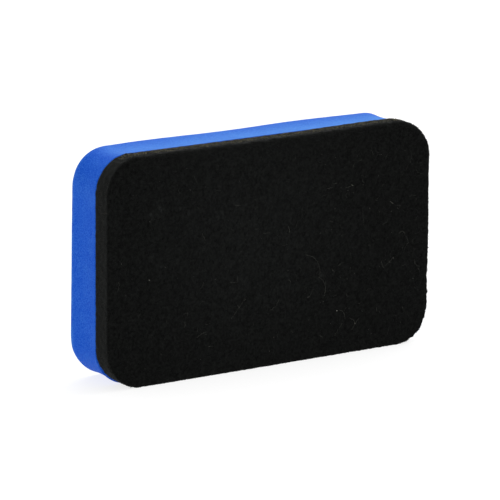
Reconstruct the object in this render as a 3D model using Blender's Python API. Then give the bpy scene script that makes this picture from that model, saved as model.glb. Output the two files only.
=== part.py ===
"""A block eraser for a chalkboard: felt glued to foam and punched out with one steel-rule die.

Three pieces lie one behind the other along Y: the felt pad in front (-Y), a film of hot-melt glue,
and the foam block behind (+Y). The eraser stands on a long edge, so X is its length and Z its
height. Its origin is the middle of its footprint. Sizes are in metres.
"""

import math
from typing import NamedTuple

import bmesh
import bpy

# The outline that the die cuts, seen along Y.
LENGTH = 0.105
HEIGHT = 0.0625
CORNER_RADIUS = 0.0102

# The layers, from front to back.
FELT_THICKNESS = 0.0058
GLUE_THICKNESS = 0.0003
FOAM_THICKNESS = 0.0116
LAYER_CLEARANCE = 0.0003

# The felt's wiping edge is worn round, and the foam's back edge is only broken.
FELT_EDGE_RADIUS = 0.0010
FOAM_EDGE_RADIUS = 0.0004

# Foam is squeezed while the die goes through and springs back, which leaves its wall drawn in.
FOAM_WAIST = 0.0005

# The glue stops short of the outline, so that none squeezes out.
GLUE_INSET = 0.0008

# How finely curves are cut into flats.
CORNER_STEPS = 16
EDGE_STEPS = 4
WALL_STEPS = 10

TOTAL_THICKNESS = FELT_THICKNESS + GLUE_THICKNESS + FOAM_THICKNESS + 2 * LAYER_CLEARANCE


class Section(NamedTuple):
    """An outline at one depth: how far behind the piece's front it lies, and how far it is drawn in."""

    depth: float
    inset: float


class Finish(NamedTuple):
    """The look of one piece."""

    name: str
    colour: tuple
    roughness: float
    metallic: float


FELT = Finish("black needle felt", (0.007, 0.007, 0.007), 1.0, 0.0)
GLUE = Finish("hot-melt glue", (0.55, 0.50, 0.38), 0.35, 0.0)
FOAM = Finish("royal blue EVA foam", (0.035, 0.14, 0.62), 0.75, 0.0)


def outline_points(inset):
    """The die's outline in X and Z about its middle, drawn in by inset, with round corners."""
    radius = CORNER_RADIUS - inset
    reach_x = LENGTH / 2 - CORNER_RADIUS
    reach_z = HEIGHT / 2 - CORNER_RADIUS
    points = []
    for quarter, (side_x, side_z) in enumerate([(1, 1), (-1, 1), (-1, -1), (1, -1)]):
        for step in range(CORNER_STEPS + 1):
            angle = math.radians(90) * (quarter + step / CORNER_STEPS)
            x = side_x * reach_x + radius * math.cos(angle)
            z = side_z * reach_z + radius * math.sin(angle)
            points.append((x, z))
    return points


def rounded_edge(radius):
    """Sections from a flat face at depth 0 round a quarter circle to the wall."""
    sections = []
    for step in range(EDGE_STEPS + 1):
        angle = math.radians(90) * step / EDGE_STEPS
        sections.append(Section(radius * (1 - math.cos(angle)), radius * (1 - math.sin(angle))))
    return sections


def felt_sections():
    """The felt: a worn front edge, then a straight wall."""
    return rounded_edge(FELT_EDGE_RADIUS) + [Section(FELT_THICKNESS, 0)]


def glue_sections():
    """The glue: a plain film that stops short of the outline."""
    return [Section(0, GLUE_INSET), Section(GLUE_THICKNESS, GLUE_INSET)]


def foam_sections():
    """The foam: a wall drawn in by the die between its two faces, then a broken back edge."""
    wall_end = FOAM_THICKNESS - FOAM_EDGE_RADIUS
    wall = []
    for step in range(WALL_STEPS + 1):
        share = step / WALL_STEPS
        wall.append(Section(share * wall_end, FOAM_WAIST * math.sin(math.pi * share)))
    back_edge = [
        Section(FOAM_THICKNESS - section.depth, section.inset)
        for section in reversed(rounded_edge(FOAM_EDGE_RADIUS))
    ]
    return wall[:-1] + back_edge


def add_ring(mesh_maker, section):
    """One closed ring of edges: the outline at a section's depth."""
    corners = [mesh_maker.verts.new((x, section.depth, z)) for x, z in outline_points(section.inset)]
    return [
        mesh_maker.edges.new((corner, corners[(index + 1) % len(corners)]))
        for index, corner in enumerate(corners)
    ]


def build_mesh(name, sections):
    """A closed solid through a stack of sections, with its first and last ring capped."""
    mesh_maker = bmesh.new()
    rings = [add_ring(mesh_maker, section) for section in sections]
    for front, back in zip(rings, rings[1:]):
        bmesh.ops.bridge_loops(mesh_maker, edges=front + back)
    for ring in (rings[0], rings[-1]):
        bmesh.ops.contextual_create(mesh_maker, geom=ring)
    bmesh.ops.recalc_face_normals(mesh_maker, faces=mesh_maker.faces)
    mesh = bpy.data.meshes.new(name)
    mesh_maker.to_mesh(mesh)
    mesh_maker.free()
    return mesh


def build_material(finish):
    """A Principled material with the finish's colour, roughness and metallic value."""
    material = bpy.data.materials.new(finish.name)
    material.use_nodes = True
    shader = material.node_tree.nodes["Principled BSDF"]
    shader.inputs["Base Color"].default_value = (*finish.colour, 1)
    shader.inputs["Roughness"].default_value = finish.roughness
    shader.inputs["Metallic"].default_value = finish.metallic
    return material


def add_layer(name, sections, front_y, finish):
    """One layer of the sandwich, with its front face at front_y and its long edge on the ground."""
    layer = bpy.data.objects.new(name, build_mesh(name, sections))
    layer.location = (0, front_y, HEIGHT / 2)
    layer.data.materials.append(build_material(finish))
    layer.data.shade_smooth()
    layer.data.set_sharp_from_angle(angle=math.radians(30))
    bpy.context.scene.collection.objects.link(layer)
    return layer


def build_eraser():
    """Felt, glue and foam, from front to back, with a clearance between neighbours."""
    felt_front = -TOTAL_THICKNESS / 2
    glue_front = felt_front + FELT_THICKNESS + LAYER_CLEARANCE
    foam_front = glue_front + GLUE_THICKNESS + LAYER_CLEARANCE
    add_layer("felt_pad", felt_sections(), felt_front, FELT)
    add_layer("glue_film", glue_sections(), glue_front, GLUE)
    add_layer("foam_block", foam_sections(), foam_front, FOAM)


for leftover in list(bpy.data.objects):
    bpy.data.objects.remove(leftover)
build_eraser()
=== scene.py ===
"""A block eraser for a chalkboard, dressed: royal blue foam behind, black needle felt in front.

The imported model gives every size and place. This script replaces its three plain solids with the
foam as the die left it, the felt with its nap and loose lint, and the glue between them.
"""

from __future__ import annotations

import logging
import math
import random
from dataclasses import dataclass
from enum import Enum

import bmesh
import bpy
import numpy as np
from mathutils import Matrix, Vector, noise
from mathutils.bvhtree import BVHTree


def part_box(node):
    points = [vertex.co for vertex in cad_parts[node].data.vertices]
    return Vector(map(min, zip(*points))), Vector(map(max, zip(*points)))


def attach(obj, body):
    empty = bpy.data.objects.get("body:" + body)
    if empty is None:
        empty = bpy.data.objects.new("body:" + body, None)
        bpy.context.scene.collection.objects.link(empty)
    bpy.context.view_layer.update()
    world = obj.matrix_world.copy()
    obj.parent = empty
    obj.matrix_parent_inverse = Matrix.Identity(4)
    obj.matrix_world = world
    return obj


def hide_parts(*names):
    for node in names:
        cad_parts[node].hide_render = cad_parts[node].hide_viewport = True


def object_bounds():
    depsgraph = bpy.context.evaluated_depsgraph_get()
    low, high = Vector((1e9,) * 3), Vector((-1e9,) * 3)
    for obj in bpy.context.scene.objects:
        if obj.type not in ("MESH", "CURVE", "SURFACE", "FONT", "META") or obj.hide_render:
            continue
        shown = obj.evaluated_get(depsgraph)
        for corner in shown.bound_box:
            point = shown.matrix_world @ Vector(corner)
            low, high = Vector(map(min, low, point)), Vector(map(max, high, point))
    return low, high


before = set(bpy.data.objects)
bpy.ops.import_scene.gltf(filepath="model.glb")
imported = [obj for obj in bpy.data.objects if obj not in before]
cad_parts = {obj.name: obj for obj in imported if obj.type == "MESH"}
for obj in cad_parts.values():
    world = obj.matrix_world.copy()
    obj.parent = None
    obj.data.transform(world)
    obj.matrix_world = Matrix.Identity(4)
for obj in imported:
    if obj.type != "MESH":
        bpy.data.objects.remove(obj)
CAD_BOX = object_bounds()

LOG = logging.getLogger("eraser")
MM = 0.001
BODY = "root"
HAIR = 0.01 * MM  # closer than this is touching
WELD = 1e-7  # points closer than this are the same point
SEAM = 0.05 * MM  # from the middle of the joint to the felt on one side and the foam on the other
GLUE_SHARE = 0.8  # how much of the seam the glue fills, so that it just clears both layers
FELT_PITCH = 0.4 * MM
FOAM_PITCH = 0.42 * MM
GLUE_PITCH = 1.0 * MM
PATTERN_STEPS = (7.31, 3.17, 5.73)  # keeps one relief's pattern clear of the next
FIBRE_ENDS = (0.6, 0.35)  # how wide a fibre's root and tip are beside its middle
MAP_MARGIN = 0.02  # how much of the bake's map is left free along each side
NOISE, MIX, RANGE = "ShaderNodeTexNoise", "ShaderNodeMix", "ShaderNodeMapRange"
COLOURS = {"data_type": "RGBA"}  # what a mix node mixes, unless it mixes numbers
Points = np.ndarray


class Layer(Enum):
    """The eraser's three layers, by the name of the CAD solid that each one replaces."""

    FELT = "felt_pad"
    GLUE = "glue_film"
    FOAM = "foam_block"


class Slot(Enum):
    """The record's material slots."""

    FELT = "felt"
    GLUE = "glue"
    FOAM = "foam"


def linear(hex_colour: str) -> tuple[float, float, float, float]:
    """Turn an sRGB hex colour, such as "285BC2", into the linear colour that shaders read."""
    shares = [int(hex_colour[start : start + 2], 16) / 255 for start in (0, 2, 4)]
    toned = [c / 12.92 if c <= 0.04045 else ((c + 0.055) / 1.055) ** 2.4 for c in shares]
    return (*toned, 1.0)


def add_node(
    tree: bpy.types.NodeTree,
    kind: str,
    settings: dict[str | int, object] | None = None,
    links: dict[str | int, bpy.types.NodeSocket] | None = None,
) -> bpy.types.Node:
    """Add a shader node with its settings and what feeds it.

    Args:
        tree: the material's or the world's node tree.
        kind: the node's type, such as "ShaderNodeTexNoise".
        settings: property names, or input names or places, with their values.
        links: input names or places, with the output socket that feeds each.

    Returns:
        The new node.
    """
    node = tree.nodes.new(kind)
    for name, value in (settings or {}).items():
        if isinstance(name, str) and hasattr(node, name):
            setattr(node, name, value)
        else:
            node.inputs[name].default_value = value
    for name, source in (links or {}).items():
        tree.links.new(source, node.inputs[name])
    return node


@dataclass(frozen=True)
class Outline:
    """The die's outline seen along Y: a rectangle with round corners, standing on Z = 0."""

    length: float
    height: float
    corner_radius: float = 10.2 * MM
    worn_corners: tuple[float, float] = (0.55 * MM, 0.18 * MM)  # the lower left one and the lower right
    worn_reach: float = 12 * MM

    def rounded(self, points: Points) -> Points:
        """Draw the square corners of a block in to the outline's arcs, and what lies inside with them.

        Args:
            points: one row of X, Y and Z for each point of a block of the outline's size.

        Returns:
            The moved points.
        """
        middle = np.array([0, self.height / 2])
        reach = np.array([self.length, self.height]) / 2 - self.corner_radius
        at = points[:, [0, 2]] - middle
        past = np.maximum(np.abs(at) - reach, 0) / self.corner_radius
        arc = past * np.sqrt(1 - past[:, ::-1] ** 2 / 2) * self.corner_radius
        moved = points.copy()
        moved[:, [0, 2]] = middle + np.sign(at) * (np.minimum(np.abs(at), reach) + arc)
        return moved

    def depth(self, points: Points) -> tuple[Points, Points]:
        """How far inside the outline each point lies, and which way the nearest wall faces.

        Args:
            points: one row of X, Y and Z for each point.

        Returns:
            The distances to the wall, and unit directions in X and Z.
        """
        at = points[:, [0, 2]] - np.array([0, self.height / 2])
        past = np.abs(at) - (np.array([self.length, self.height]) / 2 - self.corner_radius)
        in_corner = (past > 0).all(axis=1)
        nearer = np.stack([past[:, 0] >= past[:, 1], past[:, 0] < past[:, 1]], axis=1)
        facing = np.where(in_corner[:, None], past, nearer.astype(float))
        facing /= np.linalg.norm(facing, axis=1, keepdims=True)
        out = np.where(in_corner, np.linalg.norm(np.maximum(past, 0), axis=1), past.max(axis=1))
        return self.corner_radius - out, facing * np.where(at < 0, -1.0, 1.0)

    def near(self, points: Points, side: int, height: int, reach: float) -> Points:
        """One at a corner, on a side of -1 or 1 and at a height of 0 or 1, and nothing out of its reach."""
        corner = np.array([side * self.length / 2, height * self.height])
        return bump(np.linalg.norm(points[:, [0, 2]] - corner, axis=1) / reach)

    def worn(self, points: Points) -> Points:
        """How far rubbing has worn the two lower corners back, left and right, at each point."""
        return sum(
            depth * self.near(points, side, 0, self.worn_reach)
            for side, depth in zip((-1, 1), self.worn_corners)
        )


@dataclass(frozen=True)
class Relief:
    """Unevenness of a surface: its height, the length of its longest waves, and its pattern."""

    height: float
    wave: float
    octaves: int = 2
    pattern: int = 0

    def at(self, points: Points) -> Points:
        """The unevenness at each point, about zero."""
        start = Vector([self.pattern * step for step in PATTERN_STEPS])
        places = (Vector(point) / self.wave + start for point in points)
        return self.height * np.array([noise.fractal(place, 1.0, 2.0, self.octaves) for place in places])


def read_rows(source: bpy.types.bpy_prop_collection, name: str) -> Points:
    """Read a vector from every item of a mesh's collection, one row each."""
    flat = np.empty(len(source) * 3)
    source.foreach_get(name, flat)
    return flat.reshape(-1, 3)


def read_points(mesh: bpy.types.Mesh) -> Points:
    """The mesh's vertices, one row each."""
    return read_rows(mesh.vertices, "co")


def read_normals(mesh: bpy.types.Mesh) -> Points:
    """The direction that the surface faces at each vertex, one row each."""
    return read_rows(mesh.vertex_normals, "vector")


def write_points(mesh: bpy.types.Mesh, points: Points) -> None:
    """Move the mesh's vertices to the given rows."""
    mesh.vertices.foreach_set("co", points.astype(np.float32).ravel())
    mesh.update()


def write_attribute(mesh: bpy.types.Mesh, name: str, values: Points) -> None:
    """Store one number for each vertex, for a finish to read."""
    mesh.attributes.new(name, "FLOAT", "POINT").data.foreach_set("value", values.astype(np.float32))


def bump(share: Points) -> Points:
    """A smooth hump: one at a share of zero, falling to nothing at one and beyond."""
    return (1 - np.clip(np.abs(share), 0, 1) ** 2) ** 2


@dataclass
class Slab:
    """A layer of the eraser as a closed mesh of fine quads, before its own maker shapes it.

    Where one of its faces is glued, at the Y given, that face is never seen and is a single polygon.
    """

    outline: Outline
    front: float
    back: float
    pitch: float
    glued: float | None = None

    def blank(self, name: str) -> bpy.types.Mesh:
        """Cut a block of fine quads with round corners.

        Args:
            name: what the mesh is called.

        Returns:
            The block's mesh.
        """
        size = Vector((self.outline.length, self.back - self.front, self.outline.height))
        middle = Vector((0, (self.back + self.front) / 2, self.outline.height / 2))
        block = bmesh.new()
        bmesh.ops.create_cube(block, size=1.0)
        bmesh.ops.scale(block, vec=size, verts=block.verts)
        bmesh.ops.translate(block, vec=middle, verts=block.verts)
        for axis in range(3):
            cuts = round(size[axis] / self.pitch) - 1
            spans = ((edge, abs(edge.verts[0].co[axis] - edge.verts[1].co[axis])) for edge in block.edges)
            along = [edge for edge, span in spans if span > self.pitch / 2]
            if cuts > 0:
                bmesh.ops.subdivide_edges(block, edges=along, cuts=cuts, use_grid_fill=True)
        if self.glued is not None:
            hidden = [face for face in block.faces if abs(face.calc_center_median().y - self.glued) < HAIR]
            bmesh.ops.dissolve_faces(block, faces=hidden)
        mesh = to_mesh(name, block)
        write_points(mesh, self.outline.rounded(read_points(mesh)))
        return mesh

    def roll(self, points: Points, plane: float, inward: int, radius: float | Points) -> None:
        """Round the edge between one face and the wall, in place.

        Args:
            points: the slab's vertices.
            plane: the face's Y.
            inward: 1 where the slab lies behind the face, -1 where it lies in front of it.
            radius: the edge's radius, the same all round or one for each vertex.
        """
        gap, facing = self.outline.depth(points)
        lateral = radius - gap
        forward = radius - inward * (points[:, 1] - plane)
        edge = (lateral > 0) & (forward > 0)
        shrink = np.where(edge, radius / np.maximum(np.hypot(lateral, forward), 1e-9), 1)
        points[:, [0, 2]] += facing * (lateral * (shrink - 1) * edge)[:, None]
        points[:, 1] += inward * forward * (1 - shrink) * edge


def displace(mesh: bpy.types.Mesh, reliefs: tuple[Relief, ...], still: Points) -> None:
    """Push the surface in and out along its own normals, but never below the floor.

    Args:
        mesh: the mesh to move.
        reliefs: the unevennesses to add up.
        still: for each vertex, one where it may not move and zero where it is free.
    """
    points = read_points(mesh)
    rise = sum(relief.at(points) for relief in reliefs) * (1 - still)
    points += read_normals(mesh) * rise[:, None]
    points[:, 2] = np.maximum(points[:, 2], 0)
    write_points(mesh, points)


def to_mesh(name: str, shape: bmesh.types.BMesh) -> bpy.types.Mesh:
    """Turn a shape into a mesh of this name, and let the shape go."""
    mesh = bpy.data.meshes.new(name)
    shape.to_mesh(mesh)
    shape.free()
    return mesh


def add_object(name: str, data: bpy.types.ID) -> bpy.types.Object:
    """Put a mesh, a lamp or a camera into the scene, at the origin and unturned."""
    thing = bpy.data.objects.new(name, data)
    bpy.context.scene.collection.objects.link(thing)
    return thing


def finish_piece(mesh: bpy.types.Mesh, material: bpy.types.Material) -> bpy.types.Object:
    """Make a mesh a piece of the eraser: dressed, shaded smooth and riding on its body.

    Args:
        mesh: the finished mesh, which also names the piece.
        material: its finish.

    Returns:
        The piece.
    """
    piece = add_object(mesh.name, mesh)
    mesh.materials.clear()
    mesh.materials.append(material)
    mesh.shade_smooth()
    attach(piece, BODY)
    LOG.info("%s: %d vertices, %d faces", piece.name, len(mesh.vertices), len(mesh.polygons))
    return piece


def principled(
    name: str, settings: dict[str, object]
) -> tuple[bpy.types.Material, bpy.types.NodeTree, bpy.types.Node]:
    """A new material, its node tree and its Principled shader with these values in its inputs."""
    material = bpy.data.materials.new(name)
    material.use_nodes = True
    shader = material.node_tree.nodes["Principled BSDF"]
    for socket, value in settings.items():
        shader.inputs[socket].default_value = value
    return material, material.node_tree, shader


def between(dark: str, light: str) -> dict[str | int, object]:
    """The settings of a mix node that runs from one sRGB hex colour to another."""
    return {**COLOURS, 6: linear(dark), 7: linear(light)}


def per_mm(width: float) -> float:
    """The texture scale at which a pattern's cells are this many millimetres wide."""
    return 1 / (width * MM)


@dataclass(frozen=True)
class EvaFoam:
    """Closed-cell EVA foam, dyed royal blue, sliced from a bun and die-cut.

    Its matt skin scatters light evenly, cut cells pit it finely, and handling pales its rims. Its top is
    drawn paler too, a painted sheen for the light that grazes it.
    """

    dye: tuple[str, str] = ("0043B5", "2960C5")
    # paler colours: handling wear on the rims and scuffs, and the painted sheen on the top
    faded_and_sheen: tuple[str, str] = ("306FBF", "4783D3")
    roughness: tuple[float, float] = (0.55, 0.68)
    shade_mm: float = 9.0
    cell_mm: float = 0.38  # real cells are 0.1 to 0.2 mm wide, too fine to show
    pit_depth: float = 0.05
    fineness: float = 0.82  # how much of the mottle is fine grain, where the rest is broad shade

    def material(self) -> bpy.types.Material:
        """Build the finish."""
        surface = {"IOR": 1.45, "Specular IOR Level": 0.04}
        material, tree, shader = principled("royal blue EVA foam, sliced and die-cut", surface)
        place = add_node(tree, "ShaderNodeTexCoord").outputs["Object"]
        shade = add_node(tree, NOISE, {"Scale": per_mm(self.shade_mm), "Detail": 3.0}, {"Vector": place})
        cells = add_node(tree, "ShaderNodeTexVoronoi", {"Scale": per_mm(self.cell_mm)}, {"Vector": place})
        grain = add_node(tree, NOISE, {"Scale": per_mm(self.cell_mm), "Detail": 3.0}, {"Vector": place})
        mottle = add_node(tree, MIX, {0: self.fineness}, {2: shade.outputs["Fac"], 3: grain.outputs["Fac"]})
        spread = add_node(tree, RANGE, {"From Min": 0.36, "From Max": 0.62}, {"Value": mottle.outputs[0]})
        dyed, pale = (
            add_node(tree, MIX, between(deep, bright), {0: spread.outputs["Result"]})
            for deep, bright in (self.dye, self.faded_and_sheen)
        )
        # pales the dye: handling wear on the rims and scuffs, and the painted sheen on the top
        handled_and_sheen = add_node(tree, "ShaderNodeAttribute", {"attribute_name": "handled_and_sheen"})
        worn = add_node(
            tree, MIX, COLOURS, {0: handled_and_sheen.outputs["Fac"], 6: dyed.outputs[2], 7: pale.outputs[2]}
        )
        tree.links.new(worn.outputs[2], shader.inputs["Base Color"])
        low, high = self.roughness
        matt = add_node(tree, RANGE, {"To Min": low, "To Max": high}, {"Value": grain.outputs["Fac"]})
        tree.links.new(matt.outputs["Result"], shader.inputs["Roughness"])
        pits = add_node(
            tree,
            "ShaderNodeBump",
            {"Strength": 0.4, "Distance": self.pit_depth * MM},
            {"Height": cells.outputs["Distance"]},
        )
        tree.links.new(pits.outputs["Normal"], shader.inputs["Normal"])
        return material


@dataclass(frozen=True)
class NeedleFelt:
    """Black polyester felt, needle-punched and carded: all matt tangle, with a faint bloom at the edges.

    The fibres soak up light face on and catch it at a grazing angle, and chalk greys it in patches. They
    were laid in layers parallel to the face, so its cut walls are streaked along.
    """

    deep: str = "050505"
    worn: str = "151615"
    chalk: str = "686C6B"
    bloom: str = "8F9290"
    tangle_mm: float = 0.66  # real fibres are 0.02 mm thick, so bundles of them are drawn
    layering: float = 2.5
    clump_mm: float = 1.8
    clumping: float = 0.16  # how much of the mottle is clumps, where the rest is tangle
    nap_depth: float = 0.08

    def material(self) -> bpy.types.Material:
        """Build the finish."""
        surface = {
            "IOR": 1.4,
            "Specular IOR Level": 0.05,
            "Sheen Weight": 0.12,
            "Sheen Roughness": 0.4,
            "Sheen Tint": linear(self.bloom),
        }
        material, tree, shader = principled("black needle felt, carded polyester", surface)
        place = add_node(tree, "ShaderNodeTexCoord").outputs["Object"]
        layers = add_node(
            tree, "ShaderNodeMapping", {"Scale": (1, self.layering, 1)}, {"Vector": place}
        ).outputs["Vector"]
        tangle = add_node(
            tree,
            NOISE,
            {"Scale": per_mm(self.tangle_mm), "Detail": 3.0, "Roughness": 0.6, "Distortion": 0.5},
            {"Vector": layers},
        )
        clump = add_node(tree, NOISE, {"Scale": per_mm(self.clump_mm), "Detail": 4.0}, {"Vector": place})
        mottle = add_node(tree, MIX, {0: self.clumping}, {2: tangle.outputs["Fac"], 3: clump.outputs["Fac"]})
        spread = add_node(tree, RANGE, {"From Min": 0.36, "From Max": 0.66}, {"Value": mottle.outputs[0]})
        dye = add_node(tree, MIX, between(self.deep, self.worn), {0: spread.outputs["Result"]})
        dust = add_node(tree, "ShaderNodeAttribute", {"attribute_name": "chalk"})
        chalky = {**COLOURS, 7: linear(self.chalk)}
        dusty = add_node(tree, MIX, chalky, {0: dust.outputs["Fac"], 6: dye.outputs[2]})
        tree.links.new(dusty.outputs[2], shader.inputs["Base Color"])
        matt = add_node(tree, RANGE, {"To Min": 0.85, "To Max": 1.0}, {"Value": clump.outputs["Fac"]})
        tree.links.new(matt.outputs["Result"], shader.inputs["Roughness"])
        nap = add_node(
            tree,
            "ShaderNodeBump",
            {"Strength": 0.6, "Distance": self.nap_depth * MM},
            {"Height": tangle.outputs["Fac"]},
        )
        tree.links.new(nap.outputs["Normal"], shader.inputs["Normal"])
        return material


@dataclass(frozen=True)
class LooseFibre:
    """A loose textile fibre, drawn from the felt or dropped on it.

    It is satin and round, so it shows as a thin line with a soft glint, a little uneven in tone.
    """

    name: str
    dark: str
    light: str
    gloss: float = 0.25
    tone_mm: float = 1.4

    def material(self) -> bpy.types.Material:
        """Build the finish."""
        surface = {"Roughness": 0.7, "IOR": 1.5, "Specular IOR Level": self.gloss}
        material, tree, shader = principled(self.name, surface)
        place = add_node(tree, "ShaderNodeTexCoord").outputs["Object"]
        tone = add_node(tree, NOISE, {"Scale": per_mm(self.tone_mm), "Detail": 2.0}, {"Vector": place})
        spread = add_node(tree, RANGE, {"From Min": 0.35, "From Max": 0.65}, {"Value": tone.outputs["Fac"]})
        dye = add_node(tree, MIX, between(self.dark, self.light), {0: spread.outputs["Result"]})
        tree.links.new(dye.outputs[2], shader.inputs["Base Color"])
        return material


@dataclass(frozen=True)
class HotMelt:
    """Hot-melt glue, sprayed and pressed: amber and a little glossy where it squeezes out."""

    pale: str = "C9BC97"
    dark: str = "9A8A63"
    droplet_mm: float = 1.5

    def material(self) -> bpy.types.Material:
        """Build the finish."""
        material, tree, shader = principled("hot-melt glue, sprayed and pressed", {"Roughness": 0.35})
        place = add_node(tree, "ShaderNodeTexCoord").outputs["Object"]
        spray = add_node(tree, NOISE, {"Scale": per_mm(self.droplet_mm), "Detail": 3.0}, {"Vector": place})
        tone = add_node(tree, MIX, between(self.pale, self.dark), {0: spray.outputs["Fac"]})
        tree.links.new(tone.outputs[2], shader.inputs["Base Color"])
        return material


@dataclass(frozen=True)
class Mark:
    """A round mark on a broad face: its middle and radius in millimetres, and its strength there."""

    x: float
    z: float
    radius: float
    strength: float

    def at(self, points: Points) -> Points:
        """How strong the mark is at each point."""
        away = np.hypot(points[:, 0] - self.x * MM, points[:, 2] - self.z * MM)
        return self.strength * bump(away / (self.radius * MM))


@dataclass
class FoamBlock:
    """The foam, as the die and the hand leave it: walls drawn in at the waist, one corner crushed in."""

    slab: Slab
    waist: float = 0.45 * MM
    waist_lost: float = 0.7  # how much of the waist is gone where the corner is crushed
    rim_roll: float = 0.5 * MM
    rim_reach: float = 9 * MM  # how far in from the wall the back moves with its rim
    joint_roll: float = 0.12 * MM
    sway: float = 0.17 * MM
    sway_wave: float = 50 * MM
    sway_start: float = -29 * MM
    lean: float = 0.4 * MM
    full_corner: float = 0.38 * MM
    full_reach: float = 10 * MM
    crush: float = 1.0 * MM
    crush_reach: float = 12.8 * MM
    crush_onset: float = 0.7  # below one, the crush sets in close behind the joint
    presses: tuple[Mark, ...] = (  # as deep as they are strong
        Mark(21, 43, 4.5, 0.3 * MM),
        Mark(-33, 19, 3.0, 0.25 * MM),
        Mark(-12, 51, 2.2, 0.2 * MM),
        Mark(37, 13, 6.0, 0.28 * MM),
    )
    finish: EvaFoam = EvaFoam()
    reliefs: tuple[Relief, ...] = (
        Relief(0.10 * MM, 28 * MM, 2, 1),
        Relief(0.025 * MM, 1.6 * MM, 3, 2),
    )
    scuffs: Relief = Relief(0.9, 5 * MM, 4, 7)
    scuffed_rim: float = 1.6 * MM
    scuffed_share: float = 0.12
    # the painted sheen on the top: how pale it is drawn, and how it fades towards the rear, towards the left
    # and where the top turns over
    painted_top_sheen: float = 0.95
    pale_rim: float = 0.75
    pale_scuffs: float = 0.12
    top_rear_fade: float = 0.8
    top_left_fade: float = 0.32
    top_edge: int = 20  # the higher it is, the sooner the top's paleness ends where it turns over

    def build(self) -> bpy.types.Object:
        """Model and dress the foam."""
        slab = self.slab
        mesh = slab.blank("foam")
        points = read_points(mesh)
        share = np.clip((points[:, 1] - slab.front) / (slab.back - slab.front), 0, 1)
        gap, facing = slab.outline.depth(points)
        slab.roll(points, slab.front, 1, self.joint_roll)
        slab.roll(points, slab.back, -1, self.rim_roll)
        rim = bump(gap / self.rim_reach)
        crushed = slab.outline.near(points, -1, 0, self.crush_reach)
        upward = (points[:, 2] / slab.outline.height) * 2 - 1
        swing = self.sway * np.cos(2 * np.pi * (points[:, 0] - self.sway_start) / self.sway_wave)
        full = slab.outline.near(points, -1, 1, self.full_reach)
        waist = self.waist * (1 - self.waist_lost * crushed)
        push = -waist * np.sin(np.pi * share) * (gap < HAIR)
        push += share**2 * rim * np.clip(facing[:, 1], 0, 1) * swing
        push -= share**2 * rim * np.clip(-facing[:, 0], 0, 1) * self.lean * upward
        push += share**2 * rim * full * self.full_corner
        push -= share**self.crush_onset * rim * crushed * self.crush
        points[:, [0, 2]] += facing * push[:, None]
        for press in self.presses:
            points[:, 1] -= press.at(points) * share**4
        write_points(mesh, points)
        glued = (points[:, 1] < slab.front + self.joint_roll).astype(float)
        displace(mesh, self.reliefs, glued)
        self.lay_wear_and_sheen(mesh, gap, share)
        foam = finish_piece(mesh, self.finish.material())
        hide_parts(Layer.FOAM.value)
        return foam

    def lay_wear_and_sheen(self, mesh: bpy.types.Mesh, gap: Points, share: Points) -> None:
        """Lay down how pale the foam is at each vertex: a painted sheen on its top, and wear on its rear rim
        and a few scuffs.

        The painted sheen is palest beside the felt and towards the right, where the top catches the most
        light.

        Args:
            mesh: the foam's mesh.
            gap: each vertex's distance inside the outline, before the foam was shaped.
            share: each vertex's place from the joint, 0, to the back, 1.
        """
        points = read_points(mesh)
        scuff = np.clip(self.scuffs.at(points) + 0.5, 0, 1)
        rightward = 0.5 + 0.5 * np.clip(points[:, 0] / (0.4 * self.slab.outline.length), -1, 1)
        rim = bump(gap / self.scuffed_rim) * bump((1 - share) / self.scuffed_share)
        # painted sheen: upward faces drawn paler, most beside the felt and towards the right, where the
        # light grazes the top
        top = np.clip(read_normals(mesh)[:, 2], 0, 1) ** self.top_edge
        top *= (1 - self.top_rear_fade * share**2) * (1 - self.top_left_fade * (1 - rightward**0.5))
        handled_and_sheen = self.painted_top_sheen * top + self.pale_rim * rim * scuff * (1 - top)
        handled_and_sheen += self.pale_scuffs * scuff**3
        write_attribute(mesh, "handled_and_sheen", np.clip(handled_and_sheen, 0, 1))


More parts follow.
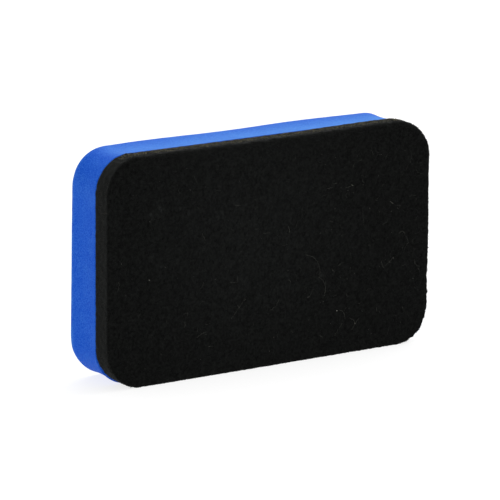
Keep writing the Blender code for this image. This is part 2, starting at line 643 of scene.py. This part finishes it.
@dataclass
class FeltPad:
    """The felt: front edges rolled softly over, furthest along the top, and chalk rubbed into its face."""

    slab: Slab
    side_roll: float = 0.45 * MM
    top_roll: float = 1.7 * MM
    joint_roll: float = 0.2 * MM
    wall_reach: float = 6 * MM  # how far in from the wall the felt moves with it
    proud_corner: float = 0.15 * MM
    proud_corner_reach: float = 11 * MM
    proud_top: float = 0.3 * MM
    proud_top_middle: float = 35 * MM
    proud_top_reach: float = 24 * MM
    ragged: Relief = Relief(0.34 * MM, 1.3 * MM, 2, 8)
    ragged_reach: float = 2 * MM
    raggedness: float = 0.4
    frayed: float = 0.8  # how much more ragged the lower right corner is
    frayed_reach: float = 36 * MM
    wall_dust: float = 0.03
    smudges: tuple[Mark, ...] = (
        Mark(-35.6, 48, 3.0, 0.05),
        Mark(-39, 46.2, 2.2, 0.045),
        Mark(-38.2, 34.6, 1.6, 0.03),
        Mark(-36, 32.4, 2.4, 0.03),
        Mark(-29.1, 46.9, 1.4, 0.05),
        Mark(-27.1, 46.2, 1.4, 0.068),
        Mark(-16.6, 43.9, 1.6, 0.034),
        Mark(16, 22.9, 1.6, 0.05),
        Mark(34, 27.2, 2.6, 0.015),
        Mark(27, 29, 2.2, 0.012),
    )
    grains: Relief = Relief(1.6, 0.9 * MM, 2, 9)
    haze: float = 0.015
    haze_reach: float = 48 * MM
    haze_middle: tuple[float, float] = (-8 * MM, 37.5 * MM)
    clouds: Relief = Relief(0.5, 3.0 * MM, 3, 10)
    finish: NeedleFelt = NeedleFelt()
    reliefs: tuple[Relief, ...] = (
        Relief(0.12 * MM, 34 * MM, 2, 3),
        Relief(0.05 * MM, 5 * MM, 2, 4),
        Relief(0.05 * MM, 1.3 * MM, 2, 5),
    )

    def build(self) -> bpy.types.Object:
        """Model and dress the felt's body."""
        slab = self.slab
        mesh = slab.blank("felt")
        points = read_points(mesh)
        gap, facing = slab.outline.depth(points)
        top = np.clip(facing[:, 1], 0, 1) ** 2
        slab.roll(points, slab.front, 1, self.side_roll + (self.top_roll - self.side_roll) * top)
        slab.roll(points, slab.back, -1, self.joint_roll)
        proud = self.proud_corner * slab.outline.near(points, 1, 1, self.proud_corner_reach)
        swell = self.proud_top * bump((points[:, 0] - self.proud_top_middle) / self.proud_top_reach) * top
        push = (proud + swell - slab.outline.worn(points)) * bump(gap / self.wall_reach)
        loose = self.raggedness + self.frayed * slab.outline.near(points, 1, 0, self.frayed_reach)
        push += self.ragged.at(points) * loose * bump(gap / self.ragged_reach)
        points[:, [0, 2]] += facing * push[:, None]
        write_points(mesh, points)
        glued = (points[:, 1] > slab.back - self.joint_roll / 2).astype(float)
        displace(mesh, self.reliefs, glued)
        self.chalk(mesh)
        felt = finish_piece(mesh, self.finish.material())
        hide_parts(Layer.FELT.value)
        return felt

    def chalk(self, mesh: bpy.types.Mesh) -> None:
        """Lay down how chalky the felt is at each vertex: its cut walls, and smudges across its face."""
        points = read_points(mesh)
        dust = self.wall_dust * np.clip(1 + 2 * read_normals(mesh)[:, 1], 0, 1)
        # paler towards the upper middle of the face and darker towards its sides and bottom, broken up by
        # clouds
        x, z = self.haze_middle
        across = np.hypot(points[:, 0] - x, points[:, 2] - z) / self.haze_reach
        dust += self.haze * bump(across) * np.clip(1 + self.clouds.at(points), 0, 2)
        grain = np.clip(self.grains.at(points) + 0.45, 0, 1.6)
        for smudge in self.smudges:
            dust += smudge.at(points) * grain
        write_attribute(mesh, "chalk", dust)


class Zone(Enum):
    """Where on the felt loose fibres are rooted: they stand out of its rim and crest, and mat elsewhere."""

    FACE = "face"
    RIM = "rim"
    WALL = "wall"
    CREST = "crest"


@dataclass
class FeltSurface:
    """The felt's finished surface, for fibres and lint to lie on."""

    felt: bpy.types.Object
    slab: Slab
    joint_margin: float = 0.6 * MM  # no fibre is rooted closer to the joint than this
    crest_start: float = 2.2 * MM  # behind the face, where the top's rolled edge has ended

    def __post_init__(self) -> None:
        """Read the surface once."""
        shape = bmesh.new()
        shape.from_mesh(self.felt.data)
        self.tree = BVHTree.FromBMesh(shape)
        shape.free()
        self.points = read_points(self.felt.data)
        self.normals = read_normals(self.felt.data)

    def roots(self, zone: Zone) -> Points:
        """The vertices that fibres of a zone may be rooted at, told by which way the felt faces there.

        No wall fibre is rooted on the upper left corner, so it stays darker there: painted shade where the
        light falls less.
        """
        forward, upward, leftward = -self.normals[:, 1], self.normals[:, 2], -self.normals[:, 0]
        free = self.points[:, 1] < self.slab.back - self.joint_margin
        # the upper left corner, kept bare of the lighter wall fibres as painted shade
        painted_shade_corner = (upward > 0.35) & (leftward > 0.35)
        inside = {
            Zone.FACE: forward > 0.8,
            Zone.RIM: (forward > 0.15) & (forward < 0.9),
            Zone.WALL: (forward < 0.25) & ~painted_shade_corner,
            Zone.CREST: (upward > 0.95) & (self.points[:, 1] > self.slab.front + self.crest_start),
        }[zone]
        return np.flatnonzero(free & inside)

    def nearest(self, spot: Vector) -> tuple[Vector, Vector]:
        """The nearest place on the felt, and the way it faces there."""
        place, facing, _, _ = self.tree.find_nearest(spot)
        return place, facing

    def ahead(self, x: float, z: float) -> Vector:
        """The place on the felt's face at this X and Z."""
        before = Vector((x, self.slab.front - 5 * MM, z))
        place, _, _, _ = self.tree.ray_cast(before, Vector((0, 1, 0)))
        return place


def spin_fibres(name: str, paths: list[list[Vector]], thickness: float) -> bpy.types.Mesh:
    """Draw a four-sided fibre along each path, thinner at its ends.

    Args:
        name: what the mesh is called.
        paths: each fibre's points.
        thickness: the fibre's width at its middle.

    Returns:
        One closed mesh of them all, with a flat map of its X and Z for the bake.
    """
    yarn = bpy.data.curves.new(name, "CURVE")
    yarn.dimensions = "3D"
    yarn.bevel_depth = thickness / 2
    yarn.bevel_resolution = 0
    yarn.use_fill_caps = True
    root, tip = FIBRE_ENDS
    for path in paths:
        spline = yarn.splines.new("POLY")
        spline.points.add(len(path) - 1)
        spline.points.foreach_set("co", [number for point in path for number in (*point, 1.0)])
        spline.points.foreach_set("radius", [root] + [1.0] * (len(path) - 2) + [tip])
    holder = bpy.data.objects.new(name, yarn)
    mesh = bpy.data.meshes.new_from_object(holder)
    bpy.data.objects.remove(holder)
    mesh.name = name
    shape = bmesh.new()
    shape.from_mesh(mesh)
    bmesh.ops.remove_doubles(shape, verts=shape.verts, dist=WELD)
    shape.to_mesh(mesh)
    shape.free()
    flat_map(mesh)
    return mesh


def flat_map(mesh: bpy.types.Mesh) -> None:
    """Give a mesh the map that the bake uses: its X and Z, laid flat over the eraser's box."""
    low, high = CAD_BOX
    points = read_points(mesh)[:, [0, 2]]
    share = (points - np.array([low.x, low.z])) / np.array([high.x - low.x, high.z - low.z])
    corners = np.empty(len(mesh.loops), dtype=np.int32)
    mesh.loops.foreach_get("vertex_index", corners)
    unwrapped = (MAP_MARGIN + (1 - 2 * MAP_MARGIN) * np.clip(share, 0, 1))[corners].astype(np.float32)
    mesh.uv_layers.new(name="OFBake").data.foreach_set("uv", unwrapped.ravel())


@dataclass(frozen=True)
class Start:
    """How a fibre sets off: from where, which way the felt faces there, its heading and its length."""

    root: Vector
    facing: Vector
    along: Vector
    length: float


@dataclass(frozen=True)
class Fleece:
    """One kind of loose fibre on the felt: how many, how long and thick, and how they lie.

    Real fibres are 0.02 to 0.03 mm thick, so each of these stands for a wisp of a few.
    """

    name: str
    zone: Zone
    count: int
    shortest: float
    longest: float
    finish: LooseFibre
    seed: int
    thickness: float = 0.06 * MM
    lift: float = 0.08 * MM
    curl: float = 1.2
    joints: int = 3
    shortness: float = 1.6  # the higher it is, the more of the fibres are short
    scatter: float = 0.3 * MM  # how far from its vertex a fibre may start
    crossing: float = 0.4  # off the face, how much fibres still cross the wall and don't run along it
    leans: tuple[float, float] = (0.3, 1.35)  # how far a stray fibre may lean, in radians

    def build(self, surface: FeltSurface) -> bpy.types.Object:
        """Model and dress the fibres."""
        dice = random.Random(self.seed)
        roots = surface.roots(self.zone)
        draw = self.stray if self.zone in (Zone.RIM, Zone.CREST) else self.matted
        paths = []
        for _ in range(self.count):
            vertex = int(roots[dice.randrange(len(roots))])
            root, facing = Vector(surface.points[vertex]), Vector(surface.normals[vertex])
            along = facing.cross(Vector([dice.gauss(0, 1) for _ in range(3)]))
            if self.zone is not Zone.FACE:
                along.y *= self.crossing
            along.normalize()
            length = self.shortest + (self.longest - self.shortest) * dice.random() ** self.shortness
            start = Start(root + along * dice.uniform(0, self.scatter), facing, along, length)
            path = draw(surface, start, dice)
            paths.append([Vector((point.x, point.y, max(point.z, self.thickness / 2))) for point in path])
        mesh = spin_fibres(self.name, paths, self.thickness)
        return finish_piece(mesh, self.finish.material())

    def matted(self, surface: FeltSurface, start: Start, dice: random.Random) -> list[Vector]:
        """Lay a fibre along the felt, tucked in at both ends and arched between.

        Args:
            surface: the felt to lie on.
            start: how the fibre sets off.
            dice: the source of chance.

        Returns:
            The fibre's points.
        """
        path = []
        bend = dice.gauss(0, self.curl) / self.joints
        lift = self.lift * dice.uniform(0.3, 1.0)
        spot, along = start.root, start.along
        for joint in range(self.joints + 1):
            share = joint / self.joints
            place, facing = surface.nearest(spot)
            path.append(place + facing * (lift * 4 * share * (1 - share) - 0.3 * self.thickness))
            along = Matrix.Rotation(bend, 3, facing) @ along
            spot = place + along * (start.length / self.joints)
        return path

    def stray(self, _: FeltSurface, start: Start, dice: random.Random) -> list[Vector]:
        """Stand a fibre out of the felt, leaning and curling as it goes.

        Args:
            _: the felt, not used, since a standing fibre only touches it where it starts.
            start: how the fibre sets off.
            dice: the source of chance.

        Returns:
            The fibre's points.
        """
        lean = dice.uniform(*self.leans)
        heading = start.facing * math.cos(lean) + start.along * math.sin(lean)
        axis = Vector([dice.gauss(0, 1) for _ in range(3)]).normalized()
        bend = dice.gauss(0, self.curl) / self.joints
        spot = start.root - start.facing * self.thickness
        path = [spot]
        for _ in range(self.joints):
            spot = spot + heading * (start.length / self.joints)
            heading = Matrix.Rotation(bend, 3, axis) @ heading
            path.append(spot)
        return path


class Tint(Enum):
    """How much a strand of lint stands out from the felt."""

    FAINT = "faint"
    DULL = "dull"
    PALE = "pale"


@dataclass(frozen=True)
class Strand:
    """A strand of lint on the felt's face: where it starts and its length, in millimetres, and its course.

    Headings are in degrees, with 0 to the right and 90 up. The turn is spread evenly over the
    length, and a cotton fibre's crimp makes it waver either way.
    """

    x: float
    z: float
    heading: float
    length: float
    turn: float = 0.0
    tint: Tint = Tint.DULL
    stride: float = 0.4
    crimp: float = 24.0

    def path(self, surface: FeltSurface, lift: float) -> list[Vector]:
        """Lay the strand on the felt.

        Args:
            surface: the felt to lie on.
            lift: how high its middle line lies above the felt.

        Returns:
            The strand's points.
        """
        steps = max(2, round(self.length / self.stride))
        x, z = self.x, self.z
        path = []
        for step in range(steps + 1):
            path.append(surface.ahead(x * MM, z * MM) - Vector((0, lift, 0)))
            waver = self.crimp * math.sin(2.3 * step + 3.1 * self.x + 1.7 * self.z)
            angle = math.radians(self.heading + self.turn * (step + 0.5) / steps + waver)
            x += math.cos(angle) * self.length / steps
            z += math.sin(angle) * self.length / steps
        return path


@dataclass(frozen=True)
class Crumb:
    """A crumb of chalk on the felt's face: its place and radius, in millimetres."""

    x: float
    z: float
    radius: float


@dataclass
class Lint:
    """The lint and chalk crumbs that the felt has picked up: long curls, short ends and specks."""

    surface: FeltSurface
    outline: Outline
    strands: tuple[Strand, ...]
    crumbs: tuple[Crumb, ...]
    strays: int = 90
    rightward: float = 1.8  # above one, more of the stray strands lie to the right
    dust: int = 80
    finest: float = 0.04
    grit: float = 0.05  # how much larger than the finest the dust can be
    margin: float = 4.0  # millimetres inside the outline that the scatter keeps
    thickness: float = 0.065 * MM
    seed: int = 41
    finishes: tuple[tuple[Tint, LooseFibre], ...] = (
        (Tint.FAINT, LooseFibre("cotton lint, dark with wear", "252625", "343531", 0.15)),
        (Tint.DULL, LooseFibre("cotton lint, grey with chalk", "333431", "4A4B45", 0.15)),
        (Tint.PALE, LooseFibre("cotton lint, white with chalk", "4E4F49", "6C6C63", 0.15)),
    )
    chalk: LooseFibre = LooseFibre("chalk, pressed and crumbled", "62615B", "8E8D86")

    def build(self) -> None:
        """Model and dress the strands, one piece for each tint, and then the crumbs."""
        dice = random.Random(self.seed)
        reach = self.outline.length / 2 / MM - self.margin, self.outline.height / MM - self.margin
        short = [
            Strand(
                reach[0] * (1 - 2 * dice.random() ** self.rightward),
                dice.uniform(self.margin, reach[1]),
                dice.uniform(0, 360),
                dice.uniform(0.6, 2.4),
                dice.gauss(0, 70),
                Tint.FAINT,
            )
            for _ in range(self.strays)
        ]
        for tint, finish in self.finishes:
            chosen = [strand for strand in (*self.strands, *short) if strand.tint is tint]
            paths = [strand.path(self.surface, 0.6 * self.thickness) for strand in chosen]
            mesh = spin_fibres(f"lint_{tint.value}", paths, self.thickness)
            finish_piece(mesh, finish.material())
        self.crumble(dice, reach)

    def crumble(self, dice: random.Random, reach: tuple[float, float]) -> None:
        """Drop the crumbs of chalk on the felt: those listed and a scatter of dust.

        Args:
            dice: the source of chance.
            reach: how far right and up the scatter goes, in millimetres.
        """
        scatter = [
            Crumb(
                dice.uniform(-reach[0], reach[0]),
                dice.uniform(self.margin, reach[1]),
                self.finest + self.grit * dice.random() ** 3,
            )
            for _ in range(self.dust)
        ]
        chalk = bmesh.new()
        for crumb in (*self.crumbs, *scatter):
            place = Matrix.Translation(self.surface.ahead(crumb.x * MM, crumb.z * MM))
            turn = Matrix.Rotation(dice.uniform(0, 6.28), 4, Vector([dice.gauss(0, 1) for _ in range(3)]))
            shape = Matrix.Diagonal((1, dice.uniform(0.5, 0.9), dice.uniform(0.6, 1), 1))
            bmesh.ops.create_icosphere(
                chalk, subdivisions=1, radius=crumb.radius * MM, matrix=place @ turn @ shape
            )
        mesh = to_mesh("chalk_crumbs", chalk)
        flat_map(mesh)
        finish_piece(mesh, self.chalk.material())


@dataclass
class GlueFilm:
    """The film of glue, ragged at its rim, that the felt and the foam are pressed on."""

    slab: Slab
    inset: float = 0.2 * MM
    rim_reach: float = 4 * MM
    ragged: Relief = Relief(0.3 * MM, 3 * MM, 3, 6)
    finish: HotMelt = HotMelt()

    def build(self) -> bpy.types.Object:
        """Model and dress the glue."""
        mesh = self.slab.blank("glue")
        points = read_points(mesh)
        gap, facing = self.slab.outline.depth(points)
        draw = self.inset + np.abs(self.ragged.at(points)) + self.slab.outline.worn(points)
        draw *= bump(gap / self.rim_reach)
        points[:, [0, 2]] -= facing * draw[:, None]
        write_points(mesh, points)
        glue = finish_piece(mesh, self.finish.material())
        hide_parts(Layer.GLUE.value)
        return glue


@dataclass(frozen=True)
class Softbox:
    """A broad soft light: which way it lies from the eraser, its strength and its width in degrees."""

    name: str
    toward: tuple[float, float, float]
    energy: float
    width: float


@dataclass
class Studio:
    """A pale floor under broad soft lights, with a long lens on the felt side."""

    middle: Vector
    azimuth: float = -34.5
    elevation: float = 13.18
    roll: float = 0.43
    distance: float = 1.149
    lens: float = 305.3
    sensor: float = 36.0
    sight: float = 20.0
    aim_right: float = -0.83 * MM
    aim_up: float = -0.81 * MM
    sky: float = 0.75
    softboxes: tuple[Softbox, ...] = (
        Softbox("rear_softbox", (0.62, 0.35, 0.8), 2.45, 75),
        Softbox("left_softbox", (-1.0, -0.1, 0.06), 0.42, 60),
    )
    floor_radius: float = 4.4
    floor_tone: float = 0.28
    floor_glow: float = 0.78
    dome_radius: float = 4.5

    def camera(self) -> None:
        """Stand the camera at its angle, a little rolled, aimed just beside the eraser's middle."""
        turn, tilt = math.radians(self.azimuth), math.radians(self.elevation)
        back = Vector((math.sin(turn) * math.cos(tilt), -math.cos(turn) * math.cos(tilt), math.sin(tilt)))
        level = back.to_track_quat("Z", "Y").to_matrix()
        frame_axes = level @ Matrix.Rotation(math.radians(self.roll), 3, "Z")
        data = bpy.data.cameras.new("camera")
        data.lens = self.lens
        data.sensor_width = self.sensor
        data.clip_end = self.sight
        camera = add_object("camera", data)
        aim = self.middle + frame_axes @ Vector((self.aim_right, self.aim_up, 0))
        camera.matrix_world = Matrix.Translation(aim + back * self.distance) @ frame_axes.to_4x4()
        bpy.context.scene.camera = camera

    def lights(self) -> None:
        """Hang the softboxes, and light everything a little from the sky."""
        for softbox in self.softboxes:
            data = bpy.data.lights.new(softbox.name, "SUN")
            data.energy = softbox.energy
            data.angle = math.radians(softbox.width)
            lamp = add_object(softbox.name, data)
            lamp.rotation_mode = "QUATERNION"
            lamp.rotation_quaternion = Vector(softbox.toward).to_track_quat("Z", "Y")
        world = bpy.data.worlds.new("sky")
        world.use_nodes = True
        sky = world.node_tree.nodes["Background"]
        sky.inputs["Color"].default_value = (1, 1, 1, 1)
        sky.inputs["Strength"].default_value = self.sky
        bpy.context.scene.world = world
        bpy.context.scene.view_settings.view_transform = "Standard"

    def stage(self) -> None:
        """Lay the floor, faintly lit from below, and close it in with a dome that only the camera sees."""
        disc = bmesh.new()
        bmesh.ops.create_circle(disc, cap_ends=True, radius=self.floor_radius, segments=96)
        table = self.glowing("white acrylic light table, frosted", self.floor_tone, self.floor_glow)
        self.backdrop("floor", disc, table)
        shell = bmesh.new()
        bmesh.ops.create_uvsphere(shell, u_segments=48, v_segments=24, radius=self.dome_radius)
        dome = self.backdrop("dome", shell, self.glowing("far white background", 0.0, 1.0))
        for ray in ("diffuse", "glossy", "transmission", "volume_scatter", "shadow"):
            setattr(dome, f"visible_{ray}", False)

    def glowing(self, name: str, tone: float, glow: float) -> bpy.types.Material:
        """A matt grey material of this tone that gives off this much white light of its own."""
        surface = {
            "Base Color": (tone, tone, tone, 1),
            "Roughness": 0.9,
            "Specular IOR Level": 0.0,
            "Emission Color": (1, 1, 1, 1),
            "Emission Strength": glow,
        }
        return principled(name, surface)[0]

    def backdrop(self, name: str, shape: bmesh.types.BMesh, finish: bpy.types.Material) -> bpy.types.Object:
        """Turn a shape into a part of the stage, which is no part of the eraser."""
        backdrop = add_object(name, to_mesh(name, shape))
        backdrop.data.materials.append(finish)
        return backdrop


NAP_DARK = LooseFibre("black polyester fibre, carded", "050505", "0C0D0D", 0.09)
NAP_PALE = LooseFibre("black polyester fibre, carded and dusty", "0B0C0C", "161818", 0.09)
WALL_DUSTY = LooseFibre("black polyester fibre, cut and dusty", "1D1D1B", "2B2A27", 0.1)
# lighter than the felt: dust on the brushed-up top fibres, and a painted glow of the light grazing them from
# behind
CREST_DUST_AND_GLOW = LooseFibre("black polyester fibre, brushed up and dusty", "504B39", "7C7559")

FLEECES = (
    Fleece("nap_dark", Zone.FACE, 6800, 1.0 * MM, 3.2 * MM, NAP_DARK, 11),
    Fleece("nap_pale", Zone.FACE, 3600, 0.6 * MM, 2.6 * MM, NAP_PALE, 12, 0.08 * MM),
    Fleece("rim_fuzz", Zone.RIM, 3800, 0.15 * MM, 0.45 * MM, NAP_DARK, 13),
    Fleece("wall_wisps", Zone.WALL, 4500, 0.5 * MM, 2.0 * MM, WALL_DUSTY, 14),
    Fleece("crest_fuzz", Zone.CREST, 3000, 0.15 * MM, 0.5 * MM, CREST_DUST_AND_GLOW, 15),
)

STRANDS = (
    Strand(11.1, 29.4, -6, 9.6, -100),
    Strand(15.2, 22.9, -22, 6.6, -90),
    Strand(15.1, 23.4, 45, 1.5, -40),
    Strand(17.8, 21.5, -88, 4.3, -12),
    Strand(11.8, 17.5, 25, 2.8, 60),
    Strand(21.9, 25.1, 30, 2),
    Strand(19.7, 24.5, -50, 1.6),
    Strand(24.9, 16.9, -80, 1.2),
    Strand(22.3, 12.5, -5, 4, -100),
    Strand(24.9, 13.1, -130, 1.4),
    Strand(25.7, 9.9, -25, 1.8, -10),
    Strand(27.2, 9.3, -62, 1.6, 0, Tint.PALE),
    Strand(27.8, 7.9, -122, 2.2, -10),
    Strand(27.8, 8, 48, 2),
    Strand(23.5, 8.7, -134, 4.4, 8),
    Strand(15.9, 6.4, -35, 1.6),
    Strand(36.6, 24.7, -96, 2.8, 55),
    Strand(40.5, 24.9, -140, 3.7, -12),
    Strand(39, 24.3, -85, 1.4, 95),
    Strand(39.5, 26.5, -90, 1.4),
    Strand(42.3, 31.4, 65, 3.6, -175),
    Strand(44.6, 30.5, -50, 2, -30),
    Strand(45.8, 28.8, -148, 3.8, 55),
    Strand(47.7, 23.7, -95, 3.6, 90),
    Strand(48.9, 21.2, -60, 1.6),
    Strand(35, 11.8, -85, 1.6),
    Strand(36, 10.4, -40, 1),
    Strand(43.7, 10.7, -60, 1.1),
    Strand(26.4, 51.9, 60, 1.5),
    Strand(28.4, 53.3, 30, 1.4),
    Strand(24, 46.5, 8, 2),
    Strand(25.9, 47.3, -28, 1.4, 0, Tint.PALE),
    Strand(19.8, 48.2, 0, 1.6),
    Strand(17.8, 47, 5, 2),
    Strand(18.8, 38, -20, 1.5),
    Strand(22.4, 36.5, -70, 1.6),
    Strand(34.2, 41.8, 30, 1.3),
    Strand(39, 41, -36, 1.6, 0, Tint.PALE),
    Strand(41.2, 39.6, -10, 1.8),
    Strand(42.9, 39.5, -122, 1.3),
    Strand(42.1, 38.4, 125, 1.4),
    Strand(45.6, 41.6, 30, 2.5, -60),
    Strand(36.5, 34.7, 10, 2.4, 35),
    Strand(36.2, 45.4, 35, 1.8),
    Strand(30, 41, -95, 6.5, 20, Tint.FAINT),
    Strand(5.3, 38, -75, 1.8, 0, Tint.PALE),
    Strand(5.4, 23.4, -50, 1.2),
    Strand(6.8, 9.1, -80, 1),
    Strand(-3, 37.2, 0, 2.4),
    Strand(-13.9, 25.1, -12, 2.6, 10),
    Strand(-11.2, 26.3, -88, 1.5),
    Strand(2.3, 18.3, -118, 2),
    Strand(1.4, 16.6, -155, 2.4, 5),
    Strand(-8.8, 20.2, -128, 7.4, -6),
    Strand(-11.3, 18.4, -50, 1.5),
    Strand(-28.6, 18.4, 5, 1.5),
    Strand(-27.2, 18.7, -95, 1.1),
    Strand(-28.2, 16.5, -80, 2.4, -20),
    Strand(-24.1, 14.2, -95, 1.5),
    Strand(-24.4, 11.2, 30, 3.9, -18),
    Strand(-20.4, 8.2, -5, 1.4),
    Strand(-22.3, 26.2, -100, 2.2, -40),
    Strand(-22.8, 39.6, -60, 2.6),
    Strand(-12.3, 46, -10, 2.2),
    Strand(-49.1, 29.9, -75, 2.9, -45),
)

CRUMBS = (
    Crumb(21.6, 12.5, 0.2),
    Crumb(27.8, 8, 0.15),
    Crumb(40.5, 24.9, 0.15),
    Crumb(26.4, 47, 0.1),
    Crumb(39.8, 40.5, 0.09),
    Crumb(-39.5, 29, 0.17),
    Crumb(-39.3, 44.8, 0.08),
    Crumb(-37.7, 45.3, 0.07),
    Crumb(-34.5, 31.9, 0.08),
    Crumb(17.3, 17.3, 0.08),
    Crumb(11.9, 17.6, 0.08),
    Crumb(27.4, 22.2, 0.07),
    Crumb(25, 21, 0.08),
    Crumb(26, 23.9, 0.07),
    Crumb(20.1, 24, 0.07),
    Crumb(43.6, 27.4, 0.07),
    Crumb(48, 26.5, 0.07),
    Crumb(16.1, 15.6, 0.07),
    Crumb(15.8, 34.9, 0.08),
    Crumb(23.3, 35.3, 0.08),
    Crumb(20.7, 41.1, 0.07),
    Crumb(19.1, 37.9, 0.08),
    Crumb(34.7, 41.8, 0.07),
    Crumb(35.7, 38.4, 0.07),
    Crumb(35.2, 48.7, 0.07),
    Crumb(43.3, 6.3, 0.07),
    Crumb(24.9, 16.4, 0.09),
    Crumb(0.7, 7.9, 0.08),
    Crumb(-0.7, 4.2, 0.07),
    Crumb(-27.2, 18.3, 0.08),
    Crumb(-20.4, 8.3, 0.07),
    Crumb(-38.6, 13.9, 0.06),
    Crumb(-34, 16.9, 0.06),
    Crumb(-10.8, 52.4, 0.06),
)


def main() -> None:
    """Build the eraser, layer by layer, and then the studio round it."""
    logging.basicConfig(level=logging.INFO, format="%(name)s: %(message)s")
    low, high = CAD_BOX
    outline = Outline(high.x - low.x, high.z - low.z)
    glue_low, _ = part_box(Layer.GLUE.value)
    joint = glue_low.y + SEAM
    felt_slab = Slab(outline, low.y, joint - SEAM, FELT_PITCH, joint - SEAM)
    surface = FeltSurface(FeltPad(felt_slab).build(), felt_slab)
    for fleece in FLEECES:
        fleece.build(surface)
    Lint(surface, outline, STRANDS, CRUMBS).build()
    film = GLUE_SHARE * SEAM
    GlueFilm(Slab(outline, joint - film, joint + film, GLUE_PITCH)).build()
    FoamBlock(Slab(outline, joint + SEAM, high.y, FOAM_PITCH, joint + SEAM)).build()
    studio = Studio((low + high) / 2)
    studio.camera()
    studio.lights()
    studio.stage()


if __name__ == "__main__":
    main()
